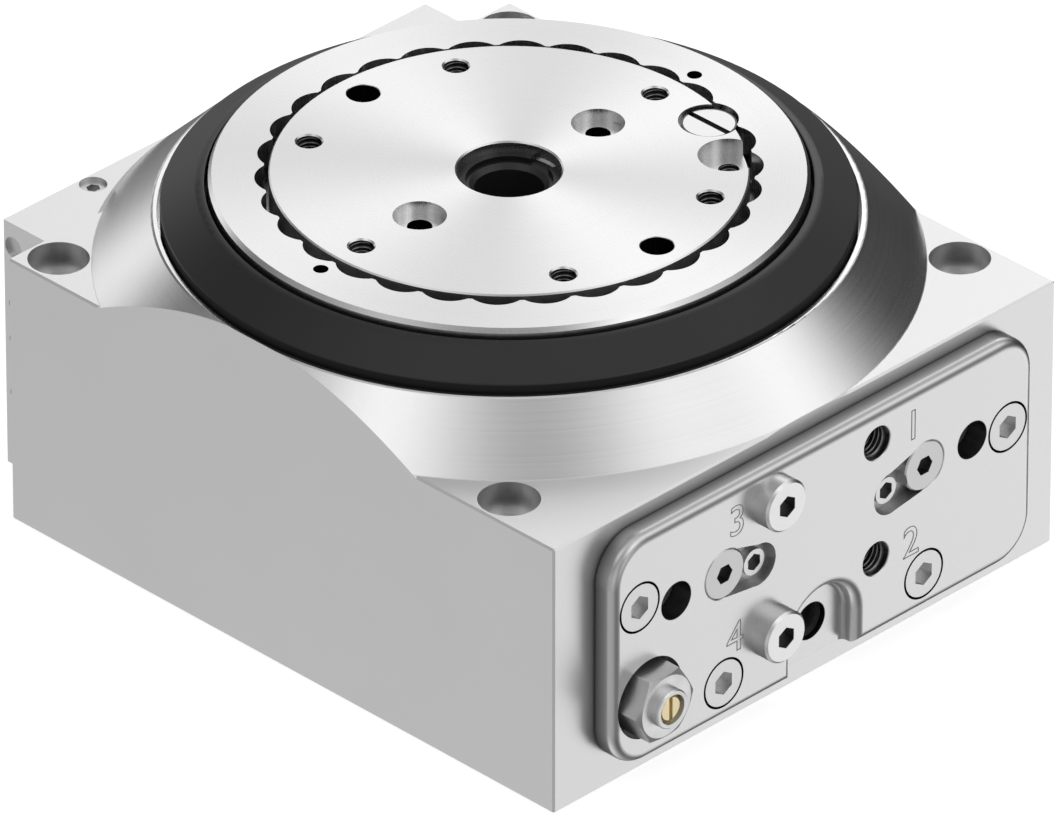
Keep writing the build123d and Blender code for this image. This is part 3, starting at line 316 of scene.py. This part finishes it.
# Clamp screw: painted shade in its groove and round the edge of its head
clamp_finish = material(
    "clamp_steel", grey(0.68), 0.24, grain=0.03, grain_scale=2200, bump=0.03, mottle=0.02,
    slot_shade=(CLAMP_X, 0.82), rim_shade=(CLAMP_X, CLAMP_Y, 6.15)
)
black = material(
    "black_anodised", grey(0.016), 0.38, metallic=0.0, grain=0.05, grain_scale=1800, bump=0.05, mottle=0.08,
    wear=0.5, specular=0.42, below=88.2
)
sleeve_black = material("sleeve_black", grey(0.012), 0.42, metallic=0.0, grain=0.05, turned=0.5, bump=0.08)
circlip_finish = material(
    "circlip_phosphated", grey(0.012), 0.40, metallic=0.0, specular=0.3, grain=0.06, bump=0.05, mottle=0.1
)
bright = material("bright_steel", grey(0.80), 0.20, grain=0.03, grain_scale=2200, bump=0.03, wear=0.3)
screw_finish = material("screw_steel", grey(0.72), 0.36, grain=0.04, grain_scale=2600, bump=0.04, mottle=0.02)
plug_steel = material(
    "plug_steel", grey(0.74), 0.32, grain=0.04, grain_scale=2400, bump=0.04, mottle=0.02, axes=FRONT,
    holes=blank_sockets
)
nut_finish = material("nut_steel", grey(0.66), 0.38, grain=0.05, grain_scale=1600, bump=0.05, wear=0.4)
plug_finish = material(
    "plug_aluminium", grey(0.58), 0.34, grain=0.04, grain_scale=2000, bump=0.05, axes=FRONT,
    holes=plug_sockets
)
needle_finish = material(
    "needle_steel", grey(0.72), 0.36, grain=0.04, grain_scale=2600, bump=0.04, mottle=0.02, axes=FRONT,
    holes=needle_sockets
)
tool = material("tool_steel", grey(0.42), 0.30, grain=0.06, grain_scale=1200, bump=0.05, wear=0.4)
dark_steel = material("dark_steel", grey(0.02), 0.4, grain=0.05, bump=0.05)
brass = material("brass", (0.74, 0.63, 0.40, 1.0), 0.34, grain=0.05, grain_scale=2200, bump=0.04, wear=0.3)
bronze = material("bronze", (0.62, 0.36, 0.18, 1.0), 0.36, grain=0.06, bump=0.05)
rubber = material("rubber", grey(0.008), 0.62, metallic=0.0, grain=0.03, bump=0.02, mottle=0.1)
magnet = material("magnet_nickel", (0.55, 0.53, 0.50, 1.0), 0.22, grain=0.03, mottle=0.03)
polymer = material(
    "cage_polymer", (0.10, 0.075, 0.05, 1.0), 0.50, metallic=0.0, grain=0.06, bump=0.05, mottle=0.1
)
# Port numbers: real engraved lines, drawn in dark grey as painted shade in them
shadow_line = material("engraved_line_shade", grey(0.30), 0.5, metallic=0.0, grain=0.05, mottle=0.1)

finishes = {
    "housing": block, "port_panel": panel_finish, "index_ring": turned_ring, "index_disc": turned_disc,
    "cover_ring": black, "dust_seal": rubber, "bore_sleeve": sleeve_black, "bore_circlip": circlip_finish,
    "clamp_screw": clamp_finish, "port_panel_screws": screw_finish, "cylinder_plugs": plug_finish,
    "throttle_needle_left": needle_finish, "throttle_needle_right": needle_finish,
    "blanking_plugs": plug_steel, "absorber_nut": nut_finish, "absorber_body": nut_finish,
    "absorber_adjuster": brass, "absorber_rod": bright, "passage_plugs": plug_finish,
    "bottom_cover": block, "bottom_cover_screws": tool, "hub": bright, "bearing_outer_race": bright,
    "bearing_inner_race": bright, "bearing_balls": bright, "bearing_cage": polymer, "lower_bush": bronze,
    "thrust_washer": bronze, "position_magnet_left": magnet, "position_magnet_right": magnet,
    "panel_seals": rubber, "bottom_cover_seal": rubber, "piston_seals_left": rubber,
    "piston_seals_right": rubber, "lock_bore_plug": dark_steel,
}
for name, node in nodes.items():
    finish = finishes.get(name, tool)
    node.data.materials.clear()
    node.data.materials.append(finish)


def mesh_piece(name, vertices, faces, finish, body):
    """A smooth piece from vertices in millimetres, riding on a body."""
    mesh = bpy.data.meshes.new(name)
    mesh.from_pydata([tuple(c * MM for c in v) for v in vertices], [], faces)
    mesh.validate()
    mesh.update()
    for polygon in mesh.polygons:
        polygon.use_smooth = True
    mesh.materials.append(finish)
    piece = bpy.data.objects.new(name, mesh)
    scene.collection.objects.link(piece)
    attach(piece, body)
    return piece


# Steps in a turn of a thread, and the share of a turn over which its ends run out
THREAD_STEPS = 28
THREAD_RUNOUT = 0.6


def thread(name, centre, axis, radius, depth, pitch, length, finish, body):
    """The crests of a tapped hole: a closed helical ridge on the wall, running inwards from its mouth."""
    axis = Vector(axis)
    side = Vector((1, 0, 0))
    other = axis.cross(side)
    count = int(length / pitch * THREAD_STEPS)
    runout = THREAD_RUNOUT * THREAD_STEPS
    # The ridge's section, as (millimetres outwards of the wall, share of the pitch along the axis)
    section = ((0.06, -0.46), (-depth, -0.10), (-depth, 0.10), (0.06, 0.46))
    vertices = []
    faces = []
    for i in range(count + 1):
        angle = tau * i / THREAD_STEPS
        taper = min(1.0, i / runout, (count - i) / runout)
        ray = side * cos(angle) + other * sin(angle)
        for outwards, along in section:
            grown = outwards if outwards > 0 else outwards * max(taper, 0.05)
            inwards = pitch * (i / THREAD_STEPS + along + 0.5)
            vertices.append(Vector(centre) + ray * (radius + grown) - axis * inwards)
    size = len(section)
    for i in range(count):
        for k in range(size):
            a = i * size + k
            b = i * size + (k + 1) % size
            faces.append((a, b, b + size, a + size))
    faces.append(tuple(range(size - 1, -1, -1)))
    faces.append(tuple(count * size + k for k in range(size)))
    piece = mesh_piece(name, vertices, faces, finish, body)
    return piece


# Threads in the plate's screw holes and in the open air ports
for number, angle in enumerate(screw_angles, 1):
    mouth = (SCREW_CIRCLE * cos(angle), SCREW_CIRCLE * sin(angle), 96.5)
    thread(
        f"disc_thread_{number}", mouth, (0, 0, 1), radius=3.0, depth=0.52, pitch=1.0, length=7.6,
        finish=turned_disc, body="plate"
    )
thread(
    "pocket_thread", (*pocket_thread_place, 93.0), (0, 0, 1), radius=2.5, depth=0.42, pitch=0.8, length=4.4,
    finish=turned_disc, body="plate"
)
for number, z in ((1, 59.4), (2, 27.5)):
    thread(
        f"port_thread_{number}", (17.3, -103.6, z), (0, -1, 0), radius=4.3, depth=0.58, pitch=1.25,
        length=9.0, finish=panel_finish, body="base"
    )


# The port numbers: how tall, the font's size for that, the line's half width, and the y they lie at
NUMERAL_HEIGHT = 8.4
FONT_SIZE = NUMERAL_HEIGHT * 1.38
NUMERAL_LINE = 0.14
NUMERAL_FACE = -103.98


def numeral(text, x, z):
    """A port number engraved as a fine outline in the panel's face, drawn as a dark line of painted shade."""
    curve = bpy.data.curves.new(f"port_number_{text}", "FONT")
    curve.body = text
    curve.size = FONT_SIZE * MM
    curve.fill_mode = "NONE"
    curve.bevel_depth = NUMERAL_LINE * MM
    curve.bevel_resolution = 1
    curve.materials.append(shadow_line)
    piece = bpy.data.objects.new(f"port_number_{text}", curve)
    piece.rotation_euler = (pi / 2, 0, 0)
    piece.location = Vector((x, NUMERAL_FACE, z)) * MM
    scene.collection.objects.link(piece)
    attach(piece, "base")
    return piece


numeral("1", 26.5, 55.2)
numeral("2", 26.2, 23.2)
numeral("3", -32.2, 55.2)
numeral("4", -32.6, 23.2)

# Floor: white to the camera with the object's shadow on it; gloss looks through it at the studio
FLOOR_GLOW = 0.78
FLOOR_HALF = 6.0
FLOOR_DROP = 0.0004
floor_mesh = bpy.data.meshes.new("floor")
corners = [(x * FLOOR_HALF, y * FLOOR_HALF, 0) for x, y in ((-1, -1), (1, -1), (1, 1), (-1, 1))]
floor_mesh.from_pydata(corners, [], [(0, 1, 2, 3)])
floor = bpy.data.objects.new("floor", floor_mesh)
floor.location.z = -FLOOR_DROP
scene.collection.objects.link(floor)
floor_material = bpy.data.materials.new("floor")
floor_material.use_nodes = True
tree = Tree(floor_material.node_tree)
path = tree.add("ShaderNodeLightPath")
diffuse = tree.add("ShaderNodeBsdfDiffuse", {"Color": grey(0.55)})
glow = tree.add("ShaderNodeEmission", {"Color": grey(1.0), "Strength": FLOOR_GLOW})
clear = tree.add("ShaderNodeBsdfTransparent", {"Color": grey(1.0)})
lit = tree.add("ShaderNodeAddShader", {0: diffuse.outputs[0], 1: glow.outputs[0]})
plain = tree.add("ShaderNodeBsdfDiffuse", {"Color": grey(0.80)})
solid = tree.mixed(path.outputs["Is Camera Ray"], plain, lit)
mirrored = tree.mixed(path.outputs["Is Glossy Ray"], solid, clear)
tree.add("ShaderNodeOutputMaterial", {"Surface": mirrored.outputs[0]})
floor_mesh.materials.append(floor_material)

# Studio: soft lights over the sky, each with its direction, how narrow it is, and its strength.
# Gloss and diffuse light see them; the camera and clear pieces see plain white.
lights = (
    ((0.74, 0.42, 0.53), 24.0, 2.07), ((0.70, -0.52, -0.50), 24.0, 1.74), ((-0.40, 0.23, -0.89), 5.0, 1.29),
    ((-0.03, 1.0, 0.03), 24.0, 1.23), ((0.03, -0.81, 0.59), 24.0, 1.21), ((0.65, -0.46, 0.61), 24.0, 1.0),
    ((0.68, 0.72, 0.17), 24.0, 0.82), ((0.09, 0.0, 1.0), 5.0, 0.80), ((-0.71, 0.07, 0.70), 24.0, 0.73),
    ((-0.50, -0.02, 0.87), 24.0, 0.59), ((0.29, -0.70, 0.65), 12.0, 0.57), ((-1.0, 0.06, 0.02), 12.0, 0.55),
    ((-0.57, 0.58, 0.58), 24.0, 0.44), ((0.02, 0.92, -0.39), 5.0, 0.23), ((-0.79, -0.10, 0.60), 5.0, 0.07),
    # Fill for what the object shows from its other sides
    ((-0.70, -0.70, -0.15), 10.0, 0.70), ((-0.64, -0.64, 0.42), 24.0, 0.45),
    ((0.15, -0.98, -0.10), 18.0, 0.85), ((0.36, 0.90, 0.24), 60.0, 0.50),
)
world = bpy.data.worlds.new("studio")
scene.world = world
world.use_nodes = True
tree = Tree(world.node_tree)
sky = tree.add("ShaderNodeTexCoord").outputs["Generated"]
total = 0.0
for direction, narrowness, strength in lights:
    towards = Vector(direction).normalized()
    facing = tree.add("ShaderNodeVectorMath", {0: sky, 1: towards}, operation="DOT_PRODUCT")
    nearness = tree.math("MULTIPLY_ADD", facing.outputs["Value"], narrowness, -narrowness)
    total = tree.math("MULTIPLY_ADD", tree.math("EXPONENT", nearness), strength, total)
path = tree.add("ShaderNodeLightPath")
studio = tree.add("ShaderNodeBackground", {"Color": grey(1.0), "Strength": total})
backdrop = tree.add("ShaderNodeBackground", {"Color": grey(1.0), "Strength": 1.0})
plain_ray = tree.math("MAXIMUM", path.outputs["Is Camera Ray"], path.outputs["Is Transmission Ray"])
tree.add("ShaderNodeOutputWorld", {"Surface": tree.mixed(plain_ray, studio, backdrop).outputs[0]})
